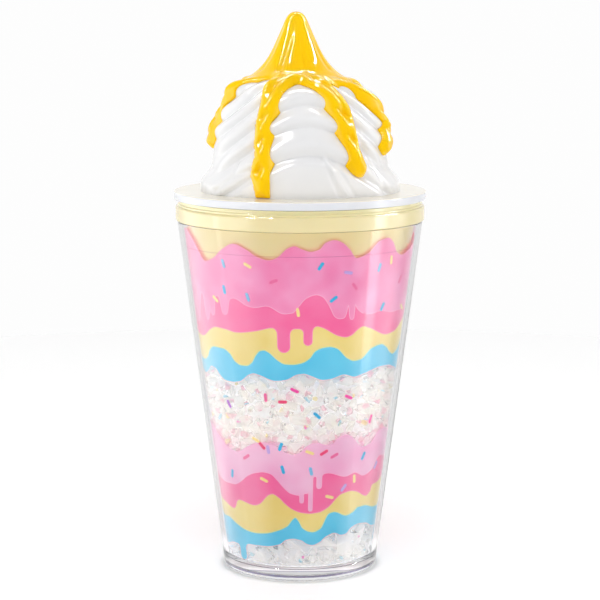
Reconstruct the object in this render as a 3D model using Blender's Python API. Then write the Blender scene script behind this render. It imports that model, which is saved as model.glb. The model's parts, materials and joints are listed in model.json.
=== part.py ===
# A lidded double-walled tumbler made to look like a sundae. A clear shell holds a printed sleeve,
# clear crushed granules and an inner cup. A ring joins the walls, a flat lid closes them, and a
# white swirl with a front and a back lobe and a poured syrup layer stands on the lid.
# Metres, +Z up, front towards -Y, origin in the middle of the foot.
import math

import bmesh
import bpy
import numpy as np
from mathutils import Vector

# Driving dimensions
TURN_STEPS = 36          # flats round a turned piece
ARC_STEPS = 2            # flats on a rounded corner
SHARP_ANGLE = 35         # degrees: edges steeper than this stay crisp
GAP = 0.0003             # clearance between pieces that touch
FOOT_RADIUS = 0.03184    # outside of the shell, carried down to the surface it stands on
WALL_SLOPE = 0.1291      # radius gained for each metre of height
WALL = 0.0020            # shell wall
WALL_AT_LIP = 0.0015     # shell wall above the ledge
LEDGE_HEIGHT = 0.1362    # small ledge inside and outside the shell
LEDGE = 0.00015
FLOOR = 0.0060           # solid clear base
FOOT_CORNER = 0.0016     # corner radii of the shell, outside and inside
INNER_CORNER = 0.0030
SHELL_TOP = 0.1457
SLEEVE_INSET = 0.0025    # middle of the printed sleeve, inwards from the shell's outside
SLEEVE_THICKNESS = 0.0003
SLEEVE_BOTTOM = 0.0095
SLEEVE_TOP = 0.1454
CUP_FOOT_RADIUS = 0.0240
CUP_TOP_RADIUS = 0.0439
CUP_BOTTOM = 0.0140
CUP_TOP = 0.1359
CUP_WALL = 0.0018
CUP_CORNER = 0.0030      # outside; the granules and the inside of the cup follow it
BED_CORNER = 0.0026      # lower outside corner of the granules
COLLAR_RADIUS = 0.0450   # lower end of the yellow collar, which reaches down over the cup's rim
COLLAR_BOTTOM = 0.1330
COLLAR_TOP_RADIUS = 0.04765
COLLAR_CORNER = 0.0002
COLLAR_BORE = 0.0424
BAND_RADIUS = 0.0514
BAND_BOTTOM = 0.14605
BAND_TOP = 0.15195
BAND_CORNERS = (0.0006, 0.0009)  # at its lower and upper edge
NECK_RADIUS = 0.0501
NECK_TOP = 0.15444
BEAD_STEP = 0.0004       # thin bead at the foot of the neck: how far out, and its height
BEAD_HEIGHTS = (0.0002, 0.0009, 0.0012)
MOUTH_DROP = 0.0010      # the mouth stays straight to this far below the lid's skirt
MOUTH_RADIUS = 0.0454
LID_RADIUS = 0.0520
LID_BOTTOM = 0.15474
LID_TOP = 0.15797
PLUG_RADIUS = 0.0450
PLUG_WALL = 0.0020
PLUG_BOTTOM = 0.1494
LID_CORNERS = (0.0004, 0.0006)   # at its lower and upper edge

# Swirl: radius and height of its skin without ridges, from the tip down
SWIRL_OUTLINE = (
    (0.0000, 0.2293), (0.0013, 0.2290), (0.0025, 0.2278), (0.0040, 0.2249), (0.0058, 0.2208),
    (0.0088, 0.2142), (0.0114, 0.2100), (0.0140, 0.2070), (0.0162, 0.2050), (0.0188, 0.2031),
    (0.0221, 0.2011), (0.0254, 0.1984), (0.0280, 0.1952), (0.0303, 0.1912), (0.0328, 0.1855),
    (0.0348, 0.1790), (0.0359, 0.1725), (0.0364, 0.1680), (0.0364, 0.15827),
)
SWIRL_STEPS = 40         # vertices round the swirl
TIP_ROW = 0.0022         # length along the skin from the tip to the first row
TIP_CALM = 0.0040        # no relief at the tip; it is full from this length on
SHOULDER_HEIGHT = 0.2060
CONE_ROWS = 6            # rows above the shoulder
SIDE_ROWS = 19           # rows below it
TIP_LEAN = -0.00155      # the tip stands this far to the side
LEAN_FROM = 0.1940
LEAN_TO = 0.2040
FLARE = 0.0046           # how far both sides spread at the foot
FLARE_HEIGHTS = (0.1610, 0.1690)
FLARE_ANGLES = (30, 68)  # degrees from the front or the back
VALLEYS = (-82, 80)      # degrees: the creases between the front and the back lobe
VALLEY_DEPTH = 0.0020
VALLEY_WIDTH = 6.0       # degrees
VALLEY_RADIUS = 0.0300   # the creases are full depth where the swirl is this wide
ARCH_CENTRE = 5.0        # degrees: where the ridges peak, and again behind
ARCH_DROP = 0.0120       # half of a ridge's fall from its peak to the sides
GROOVES = (0.2275, 0.2190, 0.2105, 0.2032, 0.1942, 0.1860, 0.1748, 0.1560)  # peak heights
RIDGE_DEPTH = 0.0017
RIDGE_POWER = 0.8        # below 1 the ridges are fuller than a sine wave
RIDGE_FADE = (0.1990, 0.2045)

# Syrup: a cap over the tip and drips, each a run of (degrees, height, half width)
SYRUP_EDGE = 0.2034
SYRUP_FOOT = 0.0006      # clear of the lid, along the swirl's side
SYRUP_THICKNESS = 0.0015
SYRUP_RIM = 0.0008
SYRUP_ROUND = 0.0022     # distance from its edge at which the syrup is full thickness
BLEND = 0.0012
BEAD = 0.0007            # how far the syrup spreads along a groove
EDGE_SHARE = (0.15, 0.85)  # the syrup's edge keeps this share of a grid edge clear of its corners
TINY = 1e-6
DRIPS = (
    ((-11, 0.2045, 0.0042), (-21, 0.1995, 0.0044), (-24, 0.1905, 0.0034), (-25, 0.1870, 0.0030),
     (-24, 0.1800, 0.0032), (-23, 0.1740, 0.0034), (-24, 0.1685, 0.0040), (-22, 0.1580, 0.0028)),
    ((14, 0.2045, 0.0040), (27, 0.1970, 0.0044), (30, 0.1915, 0.0042), (32, 0.1845, 0.0036),
     (34, 0.1770, 0.0030), (36, 0.1725, 0.0036), (38, 0.1695, 0.0034)),
    ((50, 0.2045, 0.0036), (62, 0.1985, 0.0036), (73, 0.1925, 0.0036), (79, 0.1860, 0.0038),
     (77, 0.1815, 0.0042), (70, 0.1775, 0.0038)),
    ((-50, 0.2065, 0.0036), (-65, 0.2030, 0.0034), (-79, 0.1975, 0.0034), (-89, 0.1905, 0.0032),
     (-93, 0.1845, 0.0036), (-94, 0.1785, 0.0032)),
    ((112, 0.2035, 0.0040), (117, 0.1950, 0.0040), (119, 0.1860, 0.0034), (118, 0.1805, 0.0036)),
    ((150, 0.2035, 0.0042), (154, 0.1940, 0.0042), (152, 0.1850, 0.0034), (155, 0.1760, 0.0038),
     (154, 0.1690, 0.0036)),
    ((-166, 0.2035, 0.0040), (-161, 0.1950, 0.0040), (-162, 0.1885, 0.0036)),
    ((-122, 0.2035, 0.0042), (-127, 0.1950, 0.0040), (-125, 0.1850, 0.0034), (-128, 0.1750, 0.0038),
     (-127, 0.1715, 0.0036)),
)

# Colours in linear light, roughness
CLEAR = (0.90, 0.91, 0.93), 0.04
PINK = (0.93, 0.30, 0.48), 0.35
ICE = (0.86, 0.86, 0.88), 0.10
FROSTED = (0.88, 0.88, 0.88), 0.30
PALE_YELLOW = (0.84, 0.73, 0.42), 0.22
IVORY = (0.90, 0.87, 0.80), 0.16
WHITE = (0.88, 0.88, 0.89), 0.18
SYRUP_YELLOW = (0.98, 0.58, 0.01), 0.12


def wall_radius(height):
    """Outside radius of the tapered shell."""
    return FOOT_RADIUS + WALL_SLOPE * height


def material(name, finish):
    colour, roughness = finish
    made = bpy.data.materials.new(name)
    made.use_nodes = True
    shader = made.node_tree.nodes["Principled BSDF"]
    shader.inputs["Base Color"].default_value = (*colour, 1)
    shader.inputs["Roughness"].default_value = roughness
    shader.inputs["Metallic"].default_value = 0
    return made


def add_object(name, mesh, finish):
    data = bpy.data.meshes.new(name)
    mesh.to_mesh(data)
    mesh.free()
    data.shade_smooth()
    data.set_sharp_from_angle(angle=math.radians(SHARP_ANGLE))
    data.materials.append(material(name, finish))
    made = bpy.data.objects.new(name, data)
    bpy.context.scene.collection.objects.link(made)
    return made


def rounded(outline):
    """Replaces each (radius, height, corner radius) with an arc, or with its point where that is 0."""
    points = []
    for place, (x, z, corner) in enumerate(outline):
        here = Vector((x, z))
        if corner == 0:
            points.append(here)
            continue
        before = (Vector(outline[place - 1][:2]) - here).normalized()
        after = (Vector(outline[(place + 1) % len(outline)][:2]) - here).normalized()
        half = before.angle(after) / 2
        start = here + before * corner / math.tan(half)
        end = here + after * corner / math.tan(half)
        centre = here + (before + after).normalized() * corner / math.sin(half)
        for step in range(ARC_STEPS + 1):
            spoke = (start - centre).lerp(end - centre, step / ARC_STEPS)
            points.append(centre + spoke.normalized() * corner)
    return points


def turned(name, outline, finish):
    """Spins an outline about the Z axis. One that starts on the axis also ends there."""
    points = rounded(outline)
    mesh = bmesh.new()
    verts = [mesh.verts.new((point.x, 0, point.y)) for point in points]
    edges = [mesh.edges.new(pair) for pair in zip(verts, verts[1:])]
    if outline[0][0] > 0:
        edges.append(mesh.edges.new((verts[-1], verts[0])))
    bmesh.ops.spin(mesh, geom=verts + edges, cent=(0, 0, 0), axis=(0, 0, 1),
                   angle=math.tau, steps=TURN_STEPS)
    bmesh.ops.remove_doubles(mesh, verts=mesh.verts, dist=TINY)
    bmesh.ops.recalc_face_normals(mesh, faces=mesh.faces)
    return add_object(name, mesh, finish)


def smooth_outline(points, steps=10):
    """Catmull-Rom curve through the points: radius, height and length along it from the first."""
    knots = np.array([points[0], *points, points[-1]])
    share = np.linspace(0, 1, steps, endpoint=False)[:, None]
    runs = []
    for a, b, c, d in zip(knots, knots[1:], knots[2:], knots[3:]):
        bend = (2 * a - 5 * b + 4 * c - d) * share**2 + (3 * b - 3 * c + d - a) * share**3
        runs.append(b + ((c - a) * share + bend) / 2)
    curve = np.concatenate([*runs, knots[-1:]])
    along = np.concatenate([[0], np.cumsum(np.hypot(*np.diff(curve, axis=0).T))])
    return curve[:, 0], curve[:, 1], along


RADII, HEIGHTS, ALONG = smooth_outline(SWIRL_OUTLINE)


def smoothstep(low, high, value):
    share = np.clip((value - low) / (high - low), 0, 1)
    return share * share * (3 - 2 * share)


def length_at(height):
    """Length along the outline from the tip down to a height."""
    return np.interp(-height, -HEIGHTS, ALONG)


def away(angle, middle):
    """Degrees between two directions, 0 to 180."""
    return np.abs((angle - middle + 180) % 360 - 180)


def valley(angle, width):
    """1 in the creases between the lobes, 0 away from them."""
    return sum(np.exp(-(away(angle, middle) / width) ** 2) for middle in VALLEYS)


def ridge_bulge(angle, height):
    """0 in a groove, 1 on a ridge. The ridges are arches that fall from front and back to the sides."""
    peak_height = height + ARCH_DROP * (1 - np.cos(2 * np.radians(angle - ARCH_CENTRE)))
    bulge = np.zeros_like(peak_height)
    for top, bottom in zip(GROOVES, GROOVES[1:]):
        share = np.clip((top - peak_height) / (top - bottom), 0, 1)
        bulge += np.sin(math.pi * share) ** RIDGE_POWER
    return bulge * (1 - valley(angle, VALLEY_WIDTH)) * (1 - smoothstep(*RIDGE_FADE, height))


def swirl_point(angle, along, lift=0):
    """Points of the swirl's skin, or of one raised from it by lift."""
    radius = np.interp(along, ALONG, RADII)
    height = np.interp(along, ALONG, HEIGHTS)
    out = -np.interp(along, ALONG, np.gradient(HEIGHTS, ALONG))
    up = np.interp(along, ALONG, np.gradient(RADII, ALONG))
    to_side = smoothstep(*FLARE_ANGLES, np.minimum(away(angle, 0), away(angle, 180)))
    relief = RIDGE_DEPTH * ridge_bulge(angle, height)
    relief -= VALLEY_DEPTH * valley(angle, VALLEY_WIDTH) * np.clip(radius / VALLEY_RADIUS, 0, 1)
    lift = lift + relief * smoothstep(0, TIP_CALM, along)
    radius = radius + out * lift + FLARE * to_side * (1 - smoothstep(*FLARE_HEIGHTS, height))
    height = height + up * lift
    turn = np.radians(angle)
    lean = TIP_LEAN * smoothstep(LEAN_FROM, LEAN_TO, height)
    foot = SWIRL_OUTLINE[-1][1]
    return np.stack([radius * np.sin(turn) + lean, -radius * np.cos(turn), np.maximum(height, foot)], -1)


def swirl_rows():
    """Lengths of the grid's rows: wide apart on the tip's cone, closer on the ridges."""
    shoulder = length_at(SHOULDER_HEIGHT)
    cone = np.linspace(TIP_ROW, shoulder, CONE_ROWS)
    side = np.linspace(shoulder, ALONG[-1], SIDE_ROWS)
    return np.concatenate([cone, side[1:]])


def swirl():
    mesh = bmesh.new()
    angles = np.arange(SWIRL_STEPS) * 360 / SWIRL_STEPS
    rows = [[mesh.verts.new(point) for point in swirl_point(angles, np.full(SWIRL_STEPS, row))]
            for row in swirl_rows()]
    tip = mesh.verts.new(swirl_point(np.zeros(1), np.zeros(1))[0])
    for place in range(SWIRL_STEPS):
        beside = (place + 1) % SWIRL_STEPS
        mesh.faces.new((tip, rows[0][place], rows[0][beside]))
        for upper, lower in zip(rows, rows[1:]):
            mesh.faces.new((upper[place], lower[place], lower[beside], upper[beside]))
    mesh.faces.new(rows[-1][::-1])
    bmesh.ops.recalc_face_normals(mesh, faces=mesh.faces)
    return add_object("swirl", mesh, WHITE)


def syrup_cover(angle, along):
    """Distance in from the syrup's edge, in metres: below 0 outside it."""
    height = np.interp(along, ALONG, HEIGHTS)
    radius = np.interp(along, ALONG, RADII)
    fields = [length_at(SYRUP_EDGE) - along]
    for drip in DRIPS:
        field = np.full_like(along, -1.0)
        for (a_turn, a_height, a_width), (b_turn, b_height, b_width) in zip(drip, drip[1:]):
            x = np.radians((angle - a_turn + 180) % 360 - 180) * radius
            y = along - length_at(a_height)
            across = np.radians(b_turn - a_turn) * radius
            down = length_at(b_height) - length_at(a_height)
            share = np.clip((x * across + y * down) / (across**2 + down**2), 0, 1)
            distance = np.hypot(x - share * across, y - share * down)
            field = np.maximum(field, a_width + share * (b_width - a_width) - distance)
        fields.append(field)
    joined = BLEND * np.log(np.sum(np.exp(np.array(fields) / BLEND), axis=0))
    spread = joined + BEAD * (0.5 - ridge_bulge(angle, height))
    return np.minimum(spread, ALONG[-1] - SYRUP_FOOT - along)


def syrup():
    """A layer over the swirl's own grid, cut off along the syrup's edge and closed round its rim."""
    lengths = swirl_rows()
    mesh = bmesh.new()
    corners = [(0, 0.0)]
    corners += [(place, row) for row in lengths for place in range(SWIRL_STEPS)]
    angle = np.array([place * 360 / SWIRL_STEPS for place, row in corners])
    along = np.array([row for place, row in corners])
    cover = syrup_cover(angle, along)
    cover = np.where(np.abs(cover) < TINY, TINY, cover)
    full = SYRUP_RIM + (SYRUP_THICKNESS - SYRUP_RIM) * smoothstep(0, SYRUP_ROUND, cover)
    inner = swirl_point(angle, along, GAP)
    outer = swirl_point(angle, along, GAP + full)
    made = {}

    def skin_verts(a, b=None):
        """The outer and inner vertex at a grid corner, or where the edge crosses between two."""
        key = a if b is None else (min(a, b), max(a, b))
        if key not in made:
            if b is None:
                places = outer[a], inner[a]
            else:
                low, high = key
                share = np.clip(cover[low] / (cover[low] - cover[high]), *EDGE_SHARE)
                places = [side[low] + share * (side[high] - side[low]) for side in (outer, inner)]
            made[key] = [mesh.verts.new(place) for place in places]
        return made[key]

    def layer(triangle):
        loop = []
        crossings = []
        for place, corner in enumerate(triangle):
            following = triangle[(place + 1) % 3]
            if cover[corner] > 0:
                loop.append(skin_verts(corner))
            if (cover[corner] > 0) != (cover[following] > 0):
                crossings.append((skin_verts(corner, following), cover[corner] > 0))
                loop.append(crossings[-1][0])
        if not loop:
            return
        mesh.faces.new([pair[0] for pair in loop])
        mesh.faces.new([pair[1] for pair in reversed(loop)])
        if crossings:
            leaving = next(pair for pair, outwards in crossings if outwards)
            entering = next(pair for pair, outwards in crossings if not outwards)
            mesh.faces.new((entering[0], leaving[0], leaving[1], entering[1]))

    for place in range(SWIRL_STEPS):
        beside = (place + 1) % SWIRL_STEPS
        layer((0, 1 + place, 1 + beside))
        for row in range(len(lengths) - 1):
            upper = 1 + row * SWIRL_STEPS
            lower = upper + SWIRL_STEPS
            layer((upper + place, lower + place, lower + beside))
            layer((upper + place, lower + beside, upper + beside))
    bmesh.ops.recalc_face_normals(mesh, faces=mesh.faces)
    return add_object("syrup", mesh, SYRUP_YELLOW)


def shell():
    inside = wall_radius(LEDGE_HEIGHT) - WALL
    turned("outer_shell", (
        (0, 0, 0),
        (FOOT_RADIUS, 0, FOOT_CORNER),
        (wall_radius(LEDGE_HEIGHT), LEDGE_HEIGHT, 0),
        (wall_radius(LEDGE_HEIGHT) + LEDGE, LEDGE_HEIGHT + LEDGE, 0),
        (wall_radius(SHELL_TOP) + LEDGE, SHELL_TOP, 0),
        (wall_radius(SHELL_TOP) - WALL_AT_LIP, SHELL_TOP, 0),
        (inside + WALL - WALL_AT_LIP, LEDGE_HEIGHT, 0),
        (inside, LEDGE_HEIGHT, 0),
        (wall_radius(FLOOR) - WALL, FLOOR, INNER_CORNER),
        (0, FLOOR, 0),
    ), CLEAR)


def sleeve():
    outside = SLEEVE_INSET - SLEEVE_THICKNESS / 2
    inside = SLEEVE_INSET + SLEEVE_THICKNESS / 2
    turned("print_sleeve", (
        (wall_radius(SLEEVE_BOTTOM) - outside, SLEEVE_BOTTOM, 0),
        (wall_radius(SLEEVE_TOP) - outside, SLEEVE_TOP, 0),
        (wall_radius(SLEEVE_TOP) - inside, SLEEVE_TOP, 0),
        (wall_radius(SLEEVE_BOTTOM) - inside, SLEEVE_BOTTOM, 0),
    ), PINK)


def granules():
    """Fills the space between the sleeve and the cup, and under the cup's floor."""
    inset = SLEEVE_INSET + SLEEVE_THICKNESS / 2 + GAP
    bottom = FLOOR + GAP
    top = COLLAR_BOTTOM - GAP
    slope = (CUP_TOP_RADIUS - CUP_FOOT_RADIUS) / (CUP_TOP - CUP_BOTTOM)
    turned("ice_granules", (
        (0, bottom, 0),
        (wall_radius(bottom) - inset, bottom, BED_CORNER),
        (wall_radius(top) - inset, top, 0),
        (CUP_FOOT_RADIUS + slope * (top - CUP_BOTTOM) + GAP, top, 0),
        (CUP_FOOT_RADIUS + GAP, CUP_BOTTOM - GAP, CUP_CORNER + GAP),
        (0, CUP_BOTTOM - GAP, 0),
    ), ICE)


def inner_cup():
    turned("inner_cup", (
        (0, CUP_BOTTOM, 0),
        (CUP_FOOT_RADIUS, CUP_BOTTOM, CUP_CORNER),
        (CUP_TOP_RADIUS, CUP_TOP, 0),
        (CUP_TOP_RADIUS - CUP_WALL, CUP_TOP, 0),
        (CUP_FOOT_RADIUS - CUP_WALL, CUP_BOTTOM + CUP_WALL, CUP_CORNER - 2 * GAP),
        (0, CUP_BOTTOM + CUP_WALL, 0),
    ), FROSTED)


def rim_ring():
    """Collar inside the shell, band over its lip, and the neck that the lid rests on."""
    bead = NECK_RADIUS + BEAD_STEP
    bead_bottom, bead_top, neck_bottom = (BAND_TOP + height for height in BEAD_HEIGHTS)
    turned("rim_ring", (
        (COLLAR_RADIUS, COLLAR_BOTTOM, COLLAR_CORNER),
        (COLLAR_TOP_RADIUS, BAND_BOTTOM, 0),
        (BAND_RADIUS, BAND_BOTTOM, BAND_CORNERS[0]),
        (BAND_RADIUS, BAND_TOP, BAND_CORNERS[1]),
        (bead, bead_bottom, 0),
        (bead, bead_top, 0),
        (NECK_RADIUS, neck_bottom, 0),
        (NECK_RADIUS, NECK_TOP, 0),
        (MOUTH_RADIUS, NECK_TOP, 0),
        (MOUTH_RADIUS, PLUG_BOTTOM - MOUTH_DROP, 0),
        (COLLAR_BORE, CUP_TOP + GAP, 0),
        (CUP_TOP_RADIUS + GAP, CUP_TOP + GAP, 0),
        (CUP_TOP_RADIUS + GAP, COLLAR_BOTTOM, 0),
    ), PALE_YELLOW)


def lid():
    turned("lid", (
        (0, LID_BOTTOM, 0),
        (PLUG_RADIUS - PLUG_WALL, LID_BOTTOM, 0),
        (PLUG_RADIUS - PLUG_WALL, PLUG_BOTTOM, 0),
        (PLUG_RADIUS, PLUG_BOTTOM, 0),
        (PLUG_RADIUS, LID_BOTTOM, 0),
        (LID_RADIUS, LID_BOTTOM, LID_CORNERS[0]),
        (LID_RADIUS, LID_TOP, LID_CORNERS[1]),
        (0, LID_TOP, 0),
    ), IVORY)


def main():
    for leftover in list(bpy.data.objects):
        bpy.data.objects.remove(leftover, do_unlink=True)
    shell()
    sleeve()
    granules()
    inner_cup()
    rim_ring()
    lid()
    swirl()
    syrup()


main()
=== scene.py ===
import json
import math

import bmesh
import bpy
import numpy as np
from mathutils import Matrix, Vector, noise

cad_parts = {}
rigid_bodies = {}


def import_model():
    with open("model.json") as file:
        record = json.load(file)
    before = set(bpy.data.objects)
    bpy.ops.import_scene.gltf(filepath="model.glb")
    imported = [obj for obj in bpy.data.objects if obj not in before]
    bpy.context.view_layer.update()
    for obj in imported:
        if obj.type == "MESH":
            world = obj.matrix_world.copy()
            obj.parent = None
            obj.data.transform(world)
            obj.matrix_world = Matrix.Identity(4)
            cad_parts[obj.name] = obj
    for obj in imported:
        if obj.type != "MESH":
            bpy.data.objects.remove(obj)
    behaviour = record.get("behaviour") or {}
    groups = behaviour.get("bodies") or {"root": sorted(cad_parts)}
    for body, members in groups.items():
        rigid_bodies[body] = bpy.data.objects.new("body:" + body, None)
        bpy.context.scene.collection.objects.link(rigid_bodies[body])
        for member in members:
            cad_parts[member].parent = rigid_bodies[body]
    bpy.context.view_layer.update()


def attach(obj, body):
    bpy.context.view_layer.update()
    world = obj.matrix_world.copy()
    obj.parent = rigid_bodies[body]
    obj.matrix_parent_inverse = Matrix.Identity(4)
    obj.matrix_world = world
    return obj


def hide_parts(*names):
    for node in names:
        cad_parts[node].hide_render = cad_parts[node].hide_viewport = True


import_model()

# A sundae-shaped tumbler: clear outer shell, printed film, clear chips, inner cup, yellow rim,
# ivory lid, white swirl and poured syrup. Metres, front towards -Y, turns in degrees from the front.


def linear(code):  # an sRGB hex colour as linear light
    parts = [int(code[place:place + 2], 16) / 255 for place in (0, 2, 4)]
    return (*[c / 12.92 if c <= 0.04045 else ((c + 0.055) / 1.055) ** 2.4 for c in parts], 1.0)


def addNode(tree, kind, inputs=None, **settings):
    node = tree.nodes.new(kind)
    for name, value in settings.items():
        setattr(node, name, value)
    for name, value in (inputs or {}).items():
        if isinstance(value, bpy.types.NodeSocket):
            tree.links.new(value, node.inputs[name])
        else:
            node.inputs[name].default_value = value
    return node


def maths(tree, operation, *values):
    return addNode(tree, "ShaderNodeMath", dict(enumerate(values)), operation=operation).outputs[0]


def fade(tree, value, low, high, start, end):  # from start to end as the value goes from low to high
    return addNode(tree, "ShaderNodeMapRange", {
        "Value": value, "From Min": low, "From Max": high, "To Min": start, "To Max": end},
        interpolation_type="SMOOTHSTEP").outputs["Result"]


def startMaterial(name):
    made = bpy.data.materials.new(name)
    made.use_nodes = True
    made.node_tree.nodes.clear()
    tree = made.node_tree
    place = addNode(tree, "ShaderNodeTexCoord").outputs["Object"]
    return made, tree, place


def letLampsThrough(tree, surface, tint):  # shadows of clear plastic on what is inside stay light
    path = addNode(tree, "ShaderNodeLightPath").outputs
    passing = addNode(tree, "ShaderNodeBsdfTransparent", {"Color": linear(tint)})
    soft = maths(tree, "MAXIMUM", path["Is Shadow Ray"], path["Is Diffuse Ray"])
    mixed = addNode(tree, "ShaderNodeMixShader", {0: soft, 1: surface, 2: passing.outputs[0]})
    return mixed.outputs[0]


def endMaterial(tree, surface):
    addNode(tree, "ShaderNodeOutputMaterial", {"Surface": surface})


def twoTone(tree, place, low, high, scale, detail=3.0):  # a colour that drifts between two, in patches
    patches = addNode(tree, "ShaderNodeTexNoise", {"Vector": place, "Scale": scale, "Detail": detail})
    ramp = addNode(tree, "ShaderNodeValToRGB", {"Fac": patches.outputs["Fac"]})
    ramp.color_ramp.elements[0].position = 0.35
    ramp.color_ramp.elements[1].position = 0.65
    ramp.color_ramp.elements[0].color = linear(low)
    ramp.color_ramp.elements[1].color = linear(high)
    return ramp.outputs["Color"]


def ripple(tree, place, scale, height):  # the slight unevenness of a moulded or poured skin
    waves = addNode(tree, "ShaderNodeTexNoise", {"Vector": place, "Scale": scale, "Detail": 2.0})
    bump = addNode(tree, "ShaderNodeBump", {
        "Strength": 1.0, "Distance": height, "Height": waves.outputs["Fac"]})
    return bump.outputs["Normal"]


def roughnessDrift(tree, place, low, high, scale):  # handling marks: gloss that varies a little
    marks = addNode(tree, "ShaderNodeTexNoise", {"Vector": place, "Scale": scale, "Detail": 4.0})
    spread = addNode(tree, "ShaderNodeMapRange", {
        "Value": marks.outputs["Fac"], "From Min": 0.3, "From Max": 0.7, "To Min": low, "To Max": high})
    return spread.outputs["Result"]


def paintShadingBands(tree, place, colour, paintedBands):  # painted light and shade at some heights: (middle, half height, sRGB)
    height = addNode(tree, "ShaderNodeSeparateXYZ", {0: place}).outputs[2]
    for middle, half, code in paintedBands:
        near = maths(tree, "COMPARE", height, middle, half)
        colour = addNode(tree, "ShaderNodeMix", {
            0: near, 6: colour, 7: linear(code)}, data_type="RGBA").outputs[2]
    return colour


def clearAcrylic(lines):  # injection-moulded acrylic: bright edges, crisp reflections, and painted lines that stand in for refraction
    made, tree, place = startMaterial("clearAcrylic")
    shader = addNode(tree, "ShaderNodeBsdfPrincipled", {
        "Base Color": paintShadingBands(tree, place, twoTone(tree, place, "F8F8FB", "FFFFFF", scale=30), lines),
        "Roughness": 0.0, "IOR": 1.49, "Transmission Weight": 1.0,
        "Normal": ripple(tree, place, scale=60, height=0.00001)})
    endMaterial(tree, letLampsThrough(tree, shader.outputs[0], "FFFFFF"))
    return made


# moulded plastic: even colour but for bands of painted light and shade at some heights, soft sheen lines, a
# little light under the skin and faint handling marks
def glossyPlastic(name, low, high, roughness, scatter, scatterHex, gloss=0.5, paintedBands=()):
    made, tree, place = startMaterial(name)
    shader = addNode(tree, "ShaderNodeBsdfPrincipled", {
        "Base Color": paintShadingBands(tree, place, twoTone(tree, place, low, high, scale=35), paintedBands),
        "Roughness": roughnessDrift(tree, place, roughness, roughness + 0.03, scale=90), "IOR": 1.5,
        "Specular IOR Level": gloss, "Subsurface Weight": scatter,
        "Subsurface Radius": linear(scatterHex)[:3], "Subsurface Scale": 0.002,
        "Normal": ripple(tree, place, scale=120, height=0.00003)})
    endMaterial(tree, shader.outputs[0])
    return made


def screenInk(name, low, high):  # ink on plastic film: satin, with soft watercolour patches
    made, tree, place = startMaterial(name)
    shader = addNode(tree, "ShaderNodeBsdfPrincipled", {
        "Base Color": twoTone(tree, place, low, high, scale=70, detail=2.0),
        "Roughness": roughnessDrift(tree, place, low=0.45, high=0.60, scale=150), "IOR": 1.4})
    endMaterial(tree, letLampsThrough(tree, shader.outputs[0], high))
    return made


def chipPlastic(name, low, high, through):  # crushed clear polystyrene: sharp facets, glints, faint colour
    made, tree, place = startMaterial(name)
    shader = addNode(tree, "ShaderNodeBsdfPrincipled", {
        "Base Color": twoTone(tree, place, low, high, scale=160),
        "Roughness": 0.03, "IOR": 1.45, "Transmission Weight": through,
        "Normal": ripple(tree, place, scale=500, height=0.0001)})
    endMaterial(tree, letLampsThrough(tree, shader.outputs[0], "FFFFFF"))
    return made


def packedPlastic():  # granules packed too tightly to see into: white with faint rosy and grey flecks
    made, tree, place = startMaterial("packedPolystyrene")
    cells = addNode(tree, "ShaderNodeTexVoronoi", {"Vector": place, "Scale": 420})
    ramp = addNode(tree, "ShaderNodeValToRGB", {"Fac": cells.outputs["Color"]})
    ramp.color_ramp.elements[0].color = linear("F3E9E6")
    ramp.color_ramp.elements[1].position = 0.45
    ramp.color_ramp.elements[1].color = linear("FDFCFA")
    shader = addNode(tree, "ShaderNodeBsdfPrincipled", {
        "Base Color": ramp.outputs["Color"], "Roughness": 0.25, "IOR": 1.45,
        "Normal": ripple(tree, place, scale=500, height=0.0002)})
    endMaterial(tree, shader.outputs[0])
    return made


def capital(word):
    return word[0].upper() + word[1:]


def aroundAxis(radius, turns, height):  # points at these turns, in radians from the front
    return np.stack([radius * np.sin(turns), -radius * np.cos(turns), height + np.zeros_like(turns)], -1)


def ringMesh(name, rings, material, closed=False, sharp=35):  # joins loops of points; one point is a pole
    starts = np.cumsum([0] + [len(ring) for ring in rings])
    faces = []
    pairs = list(zip(range(len(rings)), range(1, len(rings))))
    if closed:
        pairs.append((len(rings) - 1, 0))
    for first, second in pairs:
        count = max(len(rings[first]), len(rings[second]))
        here = np.arange(count)
        following = (here + 1) % count
        if len(rings[first]) == 1:
            corners = (np.full(count, starts[first]), starts[second] + here, starts[second] + following)
        elif len(rings[second]) == 1:
            corners = (starts[first] + here, np.full(count, starts[second]), starts[first] + following)
        else:
            corners = (starts[first] + here, starts[second] + here,
                       starts[second] + following, starts[first] + following)
        faces.extend(np.stack(corners, -1).tolist())
    return meshPiece(name, np.concatenate(rings), faces, material, sharp)


def addObject(name, data):
    made = bpy.data.objects.new(name, data)
    bpy.context.scene.collection.objects.link(made)
    return made


def meshPiece(name, points, faces, material, sharp=35):
    data = bpy.data.meshes.new(name)
    data.from_pydata(np.asarray(points).tolist(), [], faces)
    mesh = bmesh.new()
    mesh.from_mesh(data)
    if mesh.calc_volume(signed=True) < 0:
        bmesh.ops.reverse_faces(mesh, faces=mesh.faces)
    mesh.to_mesh(data)
    mesh.free()
    data.shade_smooth()
    data.set_sharp_from_angle(angle=math.radians(sharp))
    data.materials.append(material)
    return addObject(name, data)


def keep(piece, slotName, *nodes):  # the piece rides on the one body and stands for its nodes
    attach(piece, "root")
    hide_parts(*nodes)


def roundedOutline(corners, arcSteps):  # turns each (radius, height, corner radius) into an arc
    points = []
    for place, (radius, height, corner) in enumerate(corners):
        here = Vector((radius, height))
        if corner == 0:
            points.append(here)
            continue
        before = (Vector(corners[place - 1][:2]) - here).normalized()
        after = (Vector(corners[(place + 1) % len(corners)][:2]) - here).normalized()
        half = before.angle(after) / 2
        centre = here + (before + after).normalized() * corner / math.sin(half)
        start = here + before * corner / math.tan(half) - centre
        end = here + after * corner / math.tan(half) - centre
        for step in range(arcSteps + 1):
            points.append(centre + start.slerp(end, step / arcSteps).normalized() * corner)
    return points


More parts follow.
